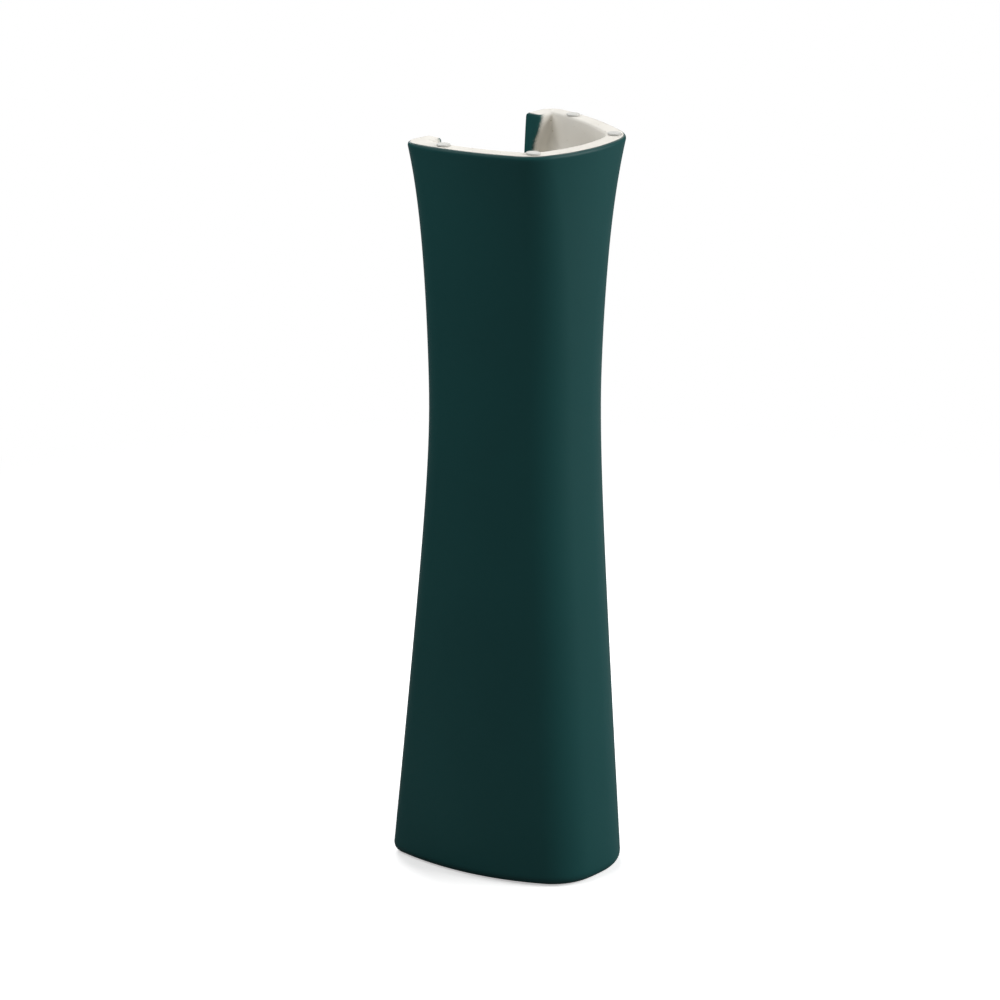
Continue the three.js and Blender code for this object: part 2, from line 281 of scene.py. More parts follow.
@dataclass
class Tree:
    """A thin wrapper that adds and joins the nodes of one node tree."""

    tree: bpy.types.NodeTree
    column: int = 0

    def add(self, kind: str, **settings: object) -> bpy.types.Node:
        """Adds a node to the right of the last one.

        Args:
            kind: The node's type, without the leading ShaderNode.
            **settings: Attributes to set on it.

        Returns:
            The new node.
        """
        node = self.tree.nodes.new(kind if kind.startswith("Node") else "ShaderNode" + kind)
        for name, value in settings.items():
            setattr(node, name, value)
        node.location = (self.column * 200, -(self.column % 3) * 160)
        self.column += 1
        return node

    def join(self, source: bpy.types.NodeSocket, target: bpy.types.NodeSocket) -> None:
        """Links one socket to another."""
        self.tree.links.new(source, target)

    def place(self, group: bpy.types.NodeTree, **values: object) -> bpy.types.Node:
        """Adds a shared group with its own values.

        Args:
            group: The group's tree.
            **values: Input values, with underscores for the spaces in their names.

        Returns:
            The group's node.
        """
        node = self.add("Group", node_tree=group)
        for name, value in values.items():
            node.inputs[name.replace("_", " ")].default_value = value
        return node

    def math(self, operation: str, first: object, second: object) -> bpy.types.NodeSocket:
        """Adds a Math node.

        Args:
            operation: Blender's name for the operation.
            first: A socket or a number.
            second: A socket or a number.

        Returns:
            The node's output.
        """
        node = self.add("Math", operation=operation)
        for socket, value in zip(node.inputs, (first, second)):
            if isinstance(value, bpy.types.NodeSocket):
                self.join(value, socket)
            else:
                socket.default_value = value
        return node.outputs[0]

    def spread(
        self,
        value: bpy.types.NodeSocket,
        low: object,
        high: object,
        to_low: float = 0.0,
        to_high: float = 1.0,
    ) -> bpy.types.NodeSocket:
        """Adds a smooth Map Range node.

        Args:
            value: The value to map.
            low: The value, or a socket for it, that gives to_low.
            high: The value, or a socket for it, that gives to_high.
            to_low: The lowest result.
            to_high: The highest result.

        Returns:
            The mapped value.
        """
        node = self.add("MapRange", interpolation_type="SMOOTHSTEP")
        self.join(value, node.inputs["Value"])
        for name, given in (("From Min", low), ("From Max", high)):
            if isinstance(given, bpy.types.NodeSocket):
                self.join(given, node.inputs[name])
            else:
                node.inputs[name].default_value = given
        node.inputs["To Min"].default_value = to_low
        node.inputs["To Max"].default_value = to_high
        return node.outputs["Result"]

    def blend(
        self, share: bpy.types.NodeSocket, first: object, second: object, colours: bool = True
    ) -> bpy.types.NodeSocket:
        """Adds a Mix node.

        Args:
            share: How much of the second goes in, from 0 to 1.
            first: A socket, or a colour or number.
            second: A socket, or a colour or number.
            colours: Whether the two are colours.

        Returns:
            The mix.
        """
        node = self.add("Mix", data_type="RGBA" if colours else "FLOAT")
        wanted = "RGBA" if colours else "VALUE"
        first_in, second_in = [s for s in node.inputs if s.type == wanted and s.name in "AB"][:2]
        self.join(share, node.inputs["Factor"])
        for socket, value in ((first_in, first), (second_in, second)):
            if isinstance(value, bpy.types.NodeSocket):
                self.join(value, socket)
            else:
                socket.default_value = value
        return next(s for s in node.outputs if s.type == wanted)

    def noise(self, vector: bpy.types.NodeSocket, scale: object, detail: float) -> bpy.types.NodeSocket:
        """Adds a Noise texture.

        Args:
            vector: Where it is read.
            scale: Features in a metre, as a number or a socket.
            detail: How many finer layers it has.

        Returns:
            Its value, about 0.5 on average.
        """
        node = self.add("TexNoise")
        node.inputs["Detail"].default_value = detail
        self.join(vector, node.inputs["Vector"])
        if isinstance(scale, bpy.types.NodeSocket):
            self.join(scale, node.inputs["Scale"])
        else:
            node.inputs["Scale"].default_value = scale
        return node.outputs[0]


class SharedGroups:
    """The shader groups that several finishes place with their own values."""

    def __init__(self) -> None:
        """Builds each group once."""
        self.mottle = self._mottle()
        self.grain = self._grain()
        self.edge_thinning = self._edge_thinning()
        self.dust = self._dust()

    @staticmethod
    def _start(
        name: str, inputs: dict[str, object], outputs: dict[str, str]
    ) -> tuple[Tree, bpy.types.Node, bpy.types.Node]:
        """Makes an empty group with its sockets.

        Args:
            name: The group's name.
            inputs: Each input's default, a number or a colour.
            outputs: Each output's kind, Color or Float.

        Returns:
            The group's tree, its input node and its output node.
        """
        group = bpy.data.node_groups.new(name, "ShaderNodeTree")
        for socket_name, default in inputs.items():
            kind = "NodeSocketColor" if isinstance(default, tuple) else "NodeSocketFloat"
            socket = group.interface.new_socket(socket_name, in_out="INPUT", socket_type=kind)
            socket.default_value = default
        for socket_name, kind in outputs.items():
            group.interface.new_socket(socket_name, in_out="OUTPUT", socket_type="NodeSocket" + kind)
        tree = Tree(group)
        return tree, tree.add("NodeGroupInput"), tree.add("NodeGroupOutput")

    def _mottle(self) -> bpy.types.NodeTree:
        """Slow drifts of colour, as in a sprayed glaze or a moulded part.

        Returns:
            The group's tree.
        """
        inputs = {
            "Color": (0.5, 0.5, 0.5, 1.0),
            "Drift Color": (0.4, 0.4, 0.4, 1.0),
            "Scale": 12.0,
            "Amount": 0.3,
        }
        tree, given, out = self._start("surface_mottle", inputs, {"Color": "Color", "Mask": "Float"})
        place = tree.add("TexCoord").outputs["Object"]
        broad = tree.noise(place, given.outputs["Scale"], 4.0)
        mask = tree.spread(broad, 0.32, 0.68)
        share = tree.math("MULTIPLY", mask, given.outputs["Amount"])
        drifted = tree.blend(share, given.outputs["Color"], given.outputs["Drift Color"])
        tree.join(drifted, out.inputs["Color"])
        tree.join(mask, out.inputs["Mask"])
        return tree.tree

    def _grain(self) -> bpy.types.NodeTree:
        """A fine tooth, with the odd speck, as on fired clay or a moulded skin.

        Returns:
            The group's tree.
        """
        inputs = {"Scale": 900.0, "Speck Scale": 260.0, "Speck Share": 0.05}
        tree, given, out = self._start("fine_grain", inputs, {"Height": "Float", "Specks": "Float"})
        place = tree.add("TexCoord").outputs["Object"]
        tooth = tree.noise(place, given.outputs["Scale"], 3.0)
        cells = tree.add("TexVoronoi", feature="F1")
        tree.join(place, cells.inputs["Vector"])
        tree.join(given.outputs["Speck Scale"], cells.inputs["Scale"])
        near = tree.math("LESS_THAN", cells.outputs["Distance"], 0.22)
        chance = tree.add("SeparateColor")
        tree.join(cells.outputs["Color"], chance.inputs[0])
        chosen = tree.math("LESS_THAN", chance.outputs[0], given.outputs["Speck Share"])
        tree.join(tooth, out.inputs["Height"])
        tree.join(tree.math("MULTIPLY", near, chosen), out.inputs["Specks"])
        return tree.tree

    def _edge_thinning(self) -> bpy.types.NodeTree:
        """Where a coat runs thin, or a surface wears, along its outward edges.

        Returns:
            The group's tree.
        """
        inputs = {"Start": 0.52, "Full": 0.6, "Break Scale": 60.0, "Amount": 1.0}
        tree, given, out = self._start("edge_thinning", inputs, {"Mask": "Float"})
        sharpness = tree.add("NewGeometry").outputs["Pointiness"]
        place = tree.add("TexCoord").outputs["Object"]
        broken = tree.spread(tree.noise(place, given.outputs["Break Scale"], 3.0), 0.3, 0.7, 0.55, 1.0)
        edge = tree.spread(sharpness, given.outputs["Start"], given.outputs["Full"])
        mask = tree.math("MULTIPLY", tree.math("MULTIPLY", edge, broken), given.outputs["Amount"])
        tree.join(mask, out.inputs["Mask"])
        return tree.tree

    def _dust(self) -> bpy.types.NodeTree:
        """Dust that has settled on what faces up.

        Returns:
            The group's tree.
        """
        inputs = {"Amount": 0.4, "Scale": 30.0}
        tree, given, out = self._start("settled_dust", inputs, {"Mask": "Float"})
        facing = tree.add("SeparateXYZ")
        tree.join(tree.add("NewGeometry").outputs["Normal"], facing.inputs[0])
        place = tree.add("TexCoord").outputs["Object"]
        patch = tree.spread(tree.noise(place, given.outputs["Scale"], 5.0), 0.35, 0.65, 0.4, 1.0)
        up = tree.spread(facing.outputs["Z"], 0.6, 0.98)
        mask = tree.math("MULTIPLY", tree.math("MULTIPLY", up, patch), given.outputs["Amount"])
        tree.join(mask, out.inputs["Mask"])
        return tree.tree


# ---------------------------------------------------------------------------
# Finishes
# ---------------------------------------------------------------------------


def start_material(name: str, colour: Colour) -> tuple[Tree, bpy.types.Node, bpy.types.Material]:
    """Makes a material with one Principled BSDF.

    Args:
        name: The material's name.
        colour: Its colour where nodes aren't drawn.

    Returns:
        The node tree, the Principled BSDF and the material.
    """
    material = bpy.data.materials.new(name)
    material.use_nodes = True
    material.diffuse_color = colour
    surface = material.node_tree.nodes["Principled BSDF"]
    surface.location = (2600, 0)
    return Tree(material.node_tree), surface, material


def set_bump(
    tree: Tree,
    surface: bpy.types.Node,
    height: bpy.types.NodeSocket,
    distance: float,
    strength: float = 1.0,
) -> None:
    """Feeds a height to a surface's normal.

    Args:
        tree: The material's tree.
        surface: Its Principled BSDF.
        height: The height, from 0 to 1.
        distance: How deep a height of 1 is, in metres.
        strength: How strongly it shows.
    """
    bump = tree.add("Bump")
    bump.inputs["Distance"].default_value = distance
    bump.inputs["Strength"].default_value = strength
    tree.join(height, bump.inputs["Height"])
    tree.join(bump.outputs["Normal"], surface.inputs["Normal"])


@dataclass(frozen=True)
class GlazedCeramic:
    """Satin coloured glaze on the outside, over fired clay that stays bare inside and on the lands."""

    glaze: Colour = (0.010, 0.0675, 0.067, 1.0)
    glaze_drift: Colour = (0.0092, 0.061, 0.061, 1.0)
    glaze_thin: Colour = (0.022, 0.098, 0.094, 1.0)
    clay: Colour = (0.79, 0.765, 0.71, 1.0)
    clay_drift: Colour = (0.73, 0.70, 0.63, 1.0)
    clay_speck: Colour = (0.45, 0.39, 0.31, 1.0)
    dust: Colour = (0.5, 0.48, 0.44, 1.0)
    glaze_roughness: float = 0.42
    glaze_specular: float = 0.16
    clay_roughness: float = 0.86
    wave_size: float = 26.0
    wave_depth: float = 0.00025
    tooth_depth: float = 0.00006
    # Painted shade near the floor: how high the darkened band above the foot reaches, where it is full, and
    # how dark it gets.
    foot_shade_height: float = 0.009
    foot_shade_full_share: float = 0.3
    foot_shade_strength: float = 0.8
    edge_wander: float = 0.14
    edge_spatter: float = 0.5
    wander_scale: float = 45.0
    spatter_scale: float = 1500.0
    edge_low: float = 0.32
    edge_high: float = 0.68
    gloss_drift: float = 0.05
    pit_scale: float = 240.0
    pit_share: float = 0.06
    cover_name: str = "glaze_cover"

    def build(self, groups: SharedGroups) -> bpy.types.Material:
        """Builds the material.

        Args:
            groups: The shared shader groups.

        Returns:
            The material.
        """
        tree, surface, material = start_material("green_glazed_ceramic", self.glaze)
        place = tree.add("TexCoord").outputs["Object"]
        covered = self._covered(tree, place)
        drift = tree.place(
            groups.mottle, Color=self.glaze, Drift_Color=self.glaze_drift, Scale=9.0, Amount=0.55
        )
        thin = tree.place(groups.edge_thinning, Start=0.515, Full=0.58, Amount=0.45)
        glazed = tree.blend(thin.outputs["Mask"], drift.outputs["Color"], self.glaze_thin)
        # Painted shade: the glaze is darkened towards the foot, where the floor's shade falls.
        foot_shaded = tree.blend(self._pooled(tree, place), glazed, self.glaze_drift)
        clay = tree.place(
            groups.mottle, Color=self.clay, Drift_Color=self.clay_drift, Scale=14.0, Amount=0.8
        )
        grain = tree.place(groups.grain, Scale=1100.0, Speck_Scale=420.0, Speck_Share=0.035)
        bare = tree.blend(grain.outputs["Specks"], clay.outputs["Color"], self.clay_speck)
        dust = tree.place(groups.dust, Amount=0.25, Scale=40.0)
        body = tree.blend(covered, bare, foot_shaded)
        tree.join(tree.blend(dust.outputs["Mask"], body, self.dust), surface.inputs["Base Color"])
        self._set_roughness(tree, surface, covered, drift.outputs["Mask"])
        self._set_relief(tree, surface, place, covered, grain.outputs["Height"])
        surface.inputs["IOR"].default_value = 1.5
        surface.inputs["Specular IOR Level"].default_value = self.glaze_specular
        return material

    def _covered(self, tree: Tree, place: bpy.types.NodeSocket) -> bpy.types.NodeSocket:
        """Where the glaze lies, with a sprayed edge.

        Args:
            tree: The material's tree.
            place: Where textures are read.

        Returns:
            A mask, 1 under glaze and 0 on bare clay.
        """
        cover = tree.add("Attribute", attribute_name=self.cover_name).outputs["Fac"]
        wander = tree.math("SUBTRACT", tree.noise(place, self.wander_scale, 2.0), 0.5)
        droplets = tree.math("SUBTRACT", tree.noise(place, self.spatter_scale, 2.0), 0.5)
        moved = tree.math("ADD", cover, tree.math("MULTIPLY", wander, self.edge_wander))
        sprayed = tree.math("ADD", moved, tree.math("MULTIPLY", droplets, self.edge_spatter))
        return tree.spread(sprayed, self.edge_low, self.edge_high)

    def _pooled(self, tree: Tree, place: bpy.types.NodeSocket) -> bpy.types.NodeSocket:
        """Painted shade: the glaze darkened just above the foot, where the floor's shade falls.

        Args:
            tree: The material's tree.
            place: Where textures are read.

        Returns:
            A mask, strongest at the foot.
        """
        height = tree.add("SeparateXYZ")
        tree.join(place, height.inputs[0])
        full = self.foot_shade_height * self.foot_shade_full_share
        return tree.spread(height.outputs["Z"], self.foot_shade_height, full, 0.0, self.foot_shade_strength)

    def _set_roughness(
        self,
        tree: Tree,
        surface: bpy.types.Node,
        covered: bpy.types.NodeSocket,
        drift: bpy.types.NodeSocket,
    ) -> None:
        """Makes the glaze satin and the clay dull.

        Args:
            tree: The material's tree.
            surface: Its Principled BSDF.
            covered: The glaze's mask.
            drift: A slow variation for the glaze's gloss.
        """
        gloss = tree.math("ADD", tree.math("MULTIPLY", drift, self.gloss_drift), self.glaze_roughness)
        rough = tree.blend(covered, self.clay_roughness, gloss, colours=False)
        tree.join(rough, surface.inputs["Roughness"])

    def _set_relief(
        self,
        tree: Tree,
        surface: bpy.types.Node,
        place: bpy.types.NodeSocket,
        covered: bpy.types.NodeSocket,
        tooth: bpy.types.NodeSocket,
    ) -> None:
        """Gives the glaze its slow waves and fine pits, and the clay its tooth.

        Args:
            tree: The material's tree.
            surface: Its Principled BSDF.
            place: Where textures are read.
            covered: The glaze's mask.
            tooth: The clay's fine grain.
        """
        waves = tree.noise(place, self.wave_size, 1.0)
        peel = tree.math("MULTIPLY", tree.noise(place, self.pit_scale, 1.0), self.pit_share)
        glazed = tree.math("ADD", waves, peel)
        bare = tree.math("MULTIPLY", tooth, self.tooth_depth / self.wave_depth)
        set_bump(tree, surface, tree.blend(covered, bare, glazed, colours=False), self.wave_depth)


@dataclass(frozen=True)
class MouldedPlastic:
    """A moulded plastic or rubber skin with a fine tooth, scuffed edges and a little dust."""

    name: str
    colour: Colour
    drift: Colour
    scuff: Colour
    roughness: float
    tooth_depth: float = 0.00002
    dust: Colour = (0.5, 0.48, 0.44, 1.0)
    dust_amount: float = 0.25
    dust_dulling: float = 0.4

    def build(self, groups: SharedGroups) -> bpy.types.Material:
        """Builds the material.

        Args:
            groups: The shared shader groups.

        Returns:
            The material.
        """
        tree, surface, material = start_material(self.name, self.colour)
        base = tree.place(groups.mottle, Color=self.colour, Drift_Color=self.drift, Scale=120.0, Amount=0.5)
        worn = tree.place(groups.edge_thinning, Start=0.53, Full=0.62, Break_Scale=400.0, Amount=0.35)
        dust = tree.place(groups.dust, Amount=self.dust_amount, Scale=160.0)
        grain = tree.place(groups.grain, Scale=2600.0, Speck_Scale=900.0, Speck_Share=0.0)
        scuffed = tree.blend(worn.outputs["Mask"], base.outputs["Color"], self.scuff)
        tree.join(tree.blend(dust.outputs["Mask"], scuffed, self.dust), surface.inputs["Base Color"])
        dulled = tree.math("MULTIPLY", dust.outputs["Mask"], self.dust_dulling)
        tree.join(tree.math("ADD", dulled, self.roughness), surface.inputs["Roughness"])
        set_bump(tree, surface, grain.outputs["Height"], self.tooth_depth)
        return material


@dataclass(frozen=True)
class PlatedSteel:
    """Zinc-plated steel with brighter edges and a mottled plating."""

    colour: Colour = (0.5, 0.51, 0.52, 1.0)
    drift: Colour = (0.36, 0.37, 0.4, 1.0)
    bright: Colour = (0.72, 0.72, 0.72, 1.0)
    roughness: float = 0.3
    gloss_drift: float = 0.14
    tooth_depth: float = 0.00001

    def build(self, groups: SharedGroups) -> bpy.types.Material:
        """Builds the material.

        Args:
            groups: The shared shader groups.

        Returns:
            The material.
        """
        tree, surface, material = start_material("plated_steel", self.colour)
        plating = tree.place(
            groups.mottle, Color=self.colour, Drift_Color=self.drift, Scale=300.0, Amount=0.6
        )
        worn = tree.place(groups.edge_thinning, Break_Scale=500.0, Amount=0.7)
        grain = tree.place(groups.grain, Scale=3000.0, Speck_Scale=1200.0, Speck_Share=0.02)
        rubbed = tree.blend(worn.outputs["Mask"], plating.outputs["Color"], self.bright)
        tree.join(rubbed, surface.inputs["Base Color"])
        gloss = tree.math("MULTIPLY", plating.outputs["Mask"], self.gloss_drift)
        tree.join(tree.math("ADD", gloss, self.roughness), surface.inputs["Roughness"])
        surface.inputs["Metallic"].default_value = 1.0
        set_bump(tree, surface, grain.outputs["Height"], self.tooth_depth)
        return material


# ---------------------------------------------------------------------------
# The column
# ---------------------------------------------------------------------------


@dataclass(frozen=True)
class Sizes:
    """One size at the foot, the waist and the top."""

    foot: float
    waist: float
    top: float


@dataclass(frozen=True)
class Arc:
    """An arc of the plan, by angle from the nose's direction towards the side."""

    x: float
    y: float
    radius: float
    start: float
    end: float

    def point(self, share: float) -> tuple[float, float]:
        """The point at that share of the arc's length."""
        a = self.start + (self.end - self.start) * share
        return self.x + self.radius * math.sin(a), self.y - self.radius * math.cos(a)


@dataclass(frozen=True)
class ColumnPlan:
    """The column's outline, seen from above, at any height."""

    height: float
    waist_height: float = 0.448
    width: Sizes = Sizes(0.191, 0.159, 0.191)
    depth: Sizes = Sizes(0.183, 0.119, 0.1395)
    setback: Sizes = Sizes(0.0, 0.0285, 0.0165)
    nose_radius: Sizes = Sizes(0.0525, 0.0465, 0.042)
    nose_spread: Sizes = Sizes(0.0165, 0.016, 0.0625)
    bow_radius: float = 0.145
    side_radius: float = 0.250
    corner_radius: float = 0.016
    least_corner: float = 0.002
    lower_softness: float = 0.2
    upper_power: float = 1.6
    lip_share: float = 0.39

    def lower_flare(self, z: float) -> float:
        """The share of the way from the waist's size to the foot's."""
        t, s = max(0.0, (self.waist_height - z) / self.waist_height), self.lower_softness
        return (math.hypot(t, s) - s) / (math.hypot(1.0, s) - s)

    def upper_flare(self, z: float) -> float:
        """The share of the way from the waist's size to the top's."""
        t = max(0.0, (z - self.waist_height) / (self.height - self.waist_height))
        return (1 - self.lip_share) * t**self.upper_power + self.lip_share * t ** (3 * self.upper_power)

    def at(self, size: Sizes, z: float) -> float:
        """A size at height z."""
        low, high = self.lower_flare(z), self.upper_flare(z)
        return size.waist + (size.foot - size.waist) * low + (size.top - size.waist) * high

    def front(self, z: float) -> float:
        """Y of the nose at height z."""
        return -self.depth.foot / 2 + self.at(self.setback, z)

    def back(self, z: float) -> float:
        """Y of the back returns at height z."""
        return self.front(z) + self.at(self.depth, z)

    def half_width(self, z: float) -> float:
        """Half the width at height z."""
        return self.at(self.width, z) / 2

    def arcs(self, z: float, inset: float) -> tuple[Arc, Arc, Arc, Arc]:
        """The arcs of the right half: front bow, nose corner, bowed side and back corner.

        Args:
            z: The height.
            inset: How far the outline is taken in.

        Returns:
            The four arcs, each running on from the one before.
        """
        nose_radius = self.at(self.nose_radius, z) - inset
        corner_radius = max(self.corner_radius - inset, self.least_corner)
        side_radius = self.side_radius - inset
        bow_y = self.front(z) + self.bow_radius
        nose_x = self.at(self.nose_spread, z) / 2
        to_bow = self.bow_radius - inset - nose_radius
        turn = math.asin(nose_x / to_bow)
        nose_y = bow_y - to_bow * math.cos(turn)
        corner_x = self.half_width(z) - inset - corner_radius
        corner_y = self.back(z) - inset - corner_radius
        span = math.hypot(corner_x - nose_x, corner_y - nose_y)
        along_x, along_y = (corner_x - nose_x) / span, (corner_y - nose_y) / span
        to_nose, to_corner = side_radius - nose_radius, side_radius - corner_radius
        reach = (to_nose**2 - to_corner**2 + span**2) / (2 * span)
        across = math.sqrt(to_nose**2 - reach**2)
        side_x = nose_x + along_x * reach - along_y * across
        side_y = nose_y + along_y * reach + along_x * across
        first = math.atan2(nose_x - side_x, side_y - nose_y)
        last = math.atan2(corner_x - side_x, side_y - corner_y)
        return (
            Arc(0.0, bow_y, self.bow_radius - inset, 0.0, turn),
            Arc(nose_x, nose_y, nose_radius, turn, first),
            Arc(side_x, side_y, side_radius, first, last),
            Arc(corner_x, corner_y, corner_radius, last, math.pi),
        )

    def side_x_at(self, y: float, z: float, inset: float) -> float:
        """How far out the bowed side stands.

        Args:
            y: Where along the side.
            z: The height.
            inset: How far the outline is taken in.

        Returns:
            X of the right side there.
        """
        side = self.arcs(z, inset)[2]
        return side.x + math.sqrt(side.radius**2 - (y - side.y) ** 2)


@dataclass
class ColumnBody:
    """The hollow casting: an open-backed wall with a rolled foot, a turned-in rim, two lugs and a tie."""

    plan: ColumnPlan
    wall: float = 0.010
    return_width: float = 0.034
    skin_shy: float = 0.00002
    foot_clear: float = 0.0003
    foot_round: float = 0.010
    foot_land: float = 0.012
    foot_rise: float = 0.048
    lip_round: float = 0.004
    rim_width: float = 0.018
    rim_drop: float = 0.034
    inner_edge_round: float = 0.002
    wiped_foot: float = 0.0016
    wiped_rim: float = 0.0003
    end_thinning: float = 0.4
    inner_spray: float = 0.55
    spray_fade: float = 0.009
    return_end_round: float = 0.0025
    tie_height: float = 0.036
    tie_thickness: float = 0.014
    tie_soft: float = 0.003
    tie_flare: float = 0.007
    tie_flare_before: float = 0.012
    tie_flare_width: float = 0.020
    tie_side_flare: float = 0.15
    tie_steps: int = 28
    lug_radius: float = 0.017
    lug_height: float = 0.022
    lug_hole: float = 0.006
    lug_soft: float = 0.0032
    lug_chamfer: float = 0.0008
    lug_flare: float = 0.009
    lug_sunk: float = 0.011
    lug_fit_height: float = 0.008
    lug_edge_steps: int = 14
    bow_steps: int = 8
    nose_steps: int = 20
    side_steps: int = 26
    corner_steps: int = 8
    return_steps: int = 5
    end_steps: int = 4
    body_levels: int = 84
    level_crowding: float = 0.12
    edge_levels: int = 9

    def outer_inset(self, z: float) -> float:
        """How far the rolled foot and the rounded lip take the outside in."""
        low = self.skin_shy + rolled(self.foot_round, self.foot_round - z)
        return low + rolled(self.lip_round, self.lip_round - (self.plan.height - z))

    def inner_inset(self, z: float) -> float:
        """How far the inside lies from the outline: the wall, thicker at the foot and the rim.

        Args:
            z: The height.

        Returns:
            The distance, in metres.
        """
        extra = (self.foot_round + self.foot_land - self.wall) * smooth_step(1 - z / self.foot_rise)
        below_top = self.plan.height - z
        rim = (self.rim_width - self.wall) * smooth_step(1 - below_top / self.rim_drop)
        return self.wall + extra + rim - self._edge_round(z)

    def _edge_round(self, z: float) -> float:
        """How far the small rounds on the inner edges open the hollow."""
        r = self.inner_edge_round
        return rolled(r, r - z) + rolled(r, r - (self.plan.height - z))

    def _levels(self) -> list[float]:
        """Heights of the rings, close together where an edge turns.

        Returns:
            The heights, from the floor up.
        """
        shares = [k / self.edge_levels for k in range(self.edge_levels)]
        top = self.plan.height
        foot = [self.foot_round * (1 - math.cos(QUARTER * s)) for s in shares]
        start, end = self.foot_round, top - self.lip_round
        rows = [k / self.body_levels for k in range(self.body_levels + 1)]
        eased = [t - self.level_crowding * math.sin(2 * math.pi * t) for t in rows]
        body = [start + (end - start) * t for t in eased]
        lip = [end + self.lip_round * math.sin(QUARTER * (s + 1 / self.edge_levels)) for s in shares]
        return foot + body + lip

    def _half_line(self, z: float, inset: float) -> list[tuple[float, float]]:
        """The right half of an outline, from the middle of the nose to the end of the return.

        Args:
            z: The height.
            inset: How far the outline is taken in.

        Returns:
            Its points.
        """
        bow, nose, side, corner = self.plan.arcs(z, inset)
        points = [bow.point(k / self.bow_steps) for k in range(self.bow_steps + 1)]
        points += [nose.point(k / self.nose_steps) for k in range(1, self.nose_steps + 1)]
        points += [side.point(k / self.side_steps) for k in range(1, self.side_steps + 1)]
        points += [corner.point(k / self.corner_steps) for k in range(1, self.corner_steps + 1)]
        from_x, y = points[-1]
        to_x = self._return_end(z) + self.return_end_round
        shares = [k / self.return_steps for k in range(1, self.return_steps + 1)]
        return points + [(from_x + (to_x - from_x) * s, y) for s in shares]

    def _return_end(self, z: float) -> float:
        """X of the right return's end, a little wider where its own edges are rounded."""
        return self.plan.half_width(z) - self.return_width + self._edge_round(z)

    def _end_line(self, z: float) -> list[tuple[float, float]]:
        """The rounded end of the right return, from its outer face to its inner one.

        Args:
            z: The height.

        Returns:
            Its points.
        """
        x, r = self._return_end(z), self.return_end_round
        outer, inner = self.plan.back(z) - self.outer_inset(z), self.plan.back(z) - self.inner_inset(z)
        turns = [QUARTER * k / self.end_steps for k in range(1, self.end_steps + 1)]
        first = [(x + r * (1 - math.sin(a)), outer - r * (1 - math.cos(a))) for a in turns]
        second = [(x + r * (1 - math.cos(a)), inner + r * (1 - math.sin(a))) for a in [0.0] + turns[:-1]]
        return first + second

    def _outer_cover(self, z: float) -> float:
        """How much glaze the outside carries: none on the wiped foot and the ground rim."""
        return smooth_step(z / self.wiped_foot) * smooth_step((self.plan.height - z) / self.wiped_rim)

    def _ring(self, z: float) -> tuple[Ring, list[float]]:
        """One level ring of the wall.

        Args:
            z: Its height.

        Returns:
            Its points, and how much glaze each of them carries.
        """
        outer = self._half_line(z, self.outer_inset(z))
        inner = self._half_line(z, self.inner_inset(z))
        end = self._end_line(z)
        outer_cover = self._outer_cover(z)
        half_outer = [outer_cover] * len(outer)
        half_end = [outer_cover * (1.0 - self.end_thinning * k / len(end)) for k in range(len(end))]
        half_inner = []
        for point in inner:
            reached = math.exp(-self._spray_reach(point, inner[-1]) / self.spray_fade)
            half_inner.append(self.inner_spray * outer_cover * reached)

        def mirrored(points: list[tuple[float, float]]) -> list[tuple[float, float]]:
            """The left half of a line of the right half."""
            return [(-x, y) for x, y in points]

        line = mirrored(outer[:0:-1]) + outer + end
        line += inner[::-1] + mirrored(inner[1:]) + mirrored(end)[::-1]
        cover = half_outer[:0:-1] + half_outer + half_end
        cover += half_inner[::-1] + half_inner[1:] + half_end[::-1]
        return [(x, y, z) for x, y in line], cover

    @staticmethod
    def _spray_reach(point: tuple[float, float], end: tuple[float, float]) -> float:
        """How far a point of the inside lies from the return's end."""
        return math.hypot(point[0] - end[0], point[1] - end[1])

    def _land_faces(self, ring_size: int) -> list[list[int]]:
        """Faces across one land, between the outside and the inside of a ring.

        Args:
            ring_size: How many points the ring has.

        Returns:
            The faces, by the ring's own point numbers, facing up.
        """
        ends = 2 * self.end_steps
        line = (ring_size - 2 * ends) // 2
        inner_start = line + ends
        inner = [inner_start + line - 1 - j for j in range(line)]
        faces = [[j, j + 1, inner[j + 1], inner[j]] for j in range(line - 1)]
        faces.append(list(range(line - 1, inner_start + 1)))
        faces.append(list(range(inner_start + line - 1, ring_size)) + [0])
        return faces

    def build_wall(self) -> bpy.types.Object:
        """Builds the wall as one closed skin that carries its glaze cover.

        Returns:
            The wall.
        """
        rings, cover = [], []
        for z in self._levels():
            ring, ring_cover = self._ring(z)
            rings.append(ring)
            cover += ring_cover
        size = len(rings[0])
        last = (len(rings) - 1) * size
        land = self._land_faces(size)
        faces = side_faces(len(rings), size)
        faces += [face[::-1] for face in land]
        faces += [[last + j for j in face] for face in land]
        piece = make_object("column_wall", [point for ring in rings for point in ring], faces)
        attribute = piece.data.attributes.new("glaze_cover", "FLOAT", "POINT")
        attribute.data.foreach_set("value", cover)
        return piece

    def build_lug(self, side: Side, screw: Vector) -> bpy.types.Object:
        """Builds one lug, a tongue that grows out of the side wall and takes a floor screw.

        Args:
            side: Which half it belongs to.
            screw: Where the screw stands.

        Returns:
            The lug.
        """
        top, hole = self.lug_height, self.lug_hole
        soft, chamfer = self.lug_soft, self.lug_chamfer
        outline = self._lug_outline(side, screw)

        def ring_at(z: float, reach: Callable[[float], float]) -> Ring:
            """A level ring about the screw, with a point for each point of the outline.

            Args:
                z: Its height.
                reach: How far out a point goes, from how far out the outline is there.

            Returns:
                The ring.
            """
            ring = []
            for x, y in outline:
                away = math.hypot(x, y)
                share = reach(away) / away
                ring.append((screw.x + x * share, screw.y + y * share, z))
            return ring

        def loop(inward: float, z: float) -> Ring:
            """The tongue's outline, drawn in towards the screw, at a height."""
            return ring_at(z, lambda away: away - inward)

        def mouth(radius: float, z: float) -> Ring:
            """The hole's edge, at a height."""
            return ring_at(z, lambda away: radius)

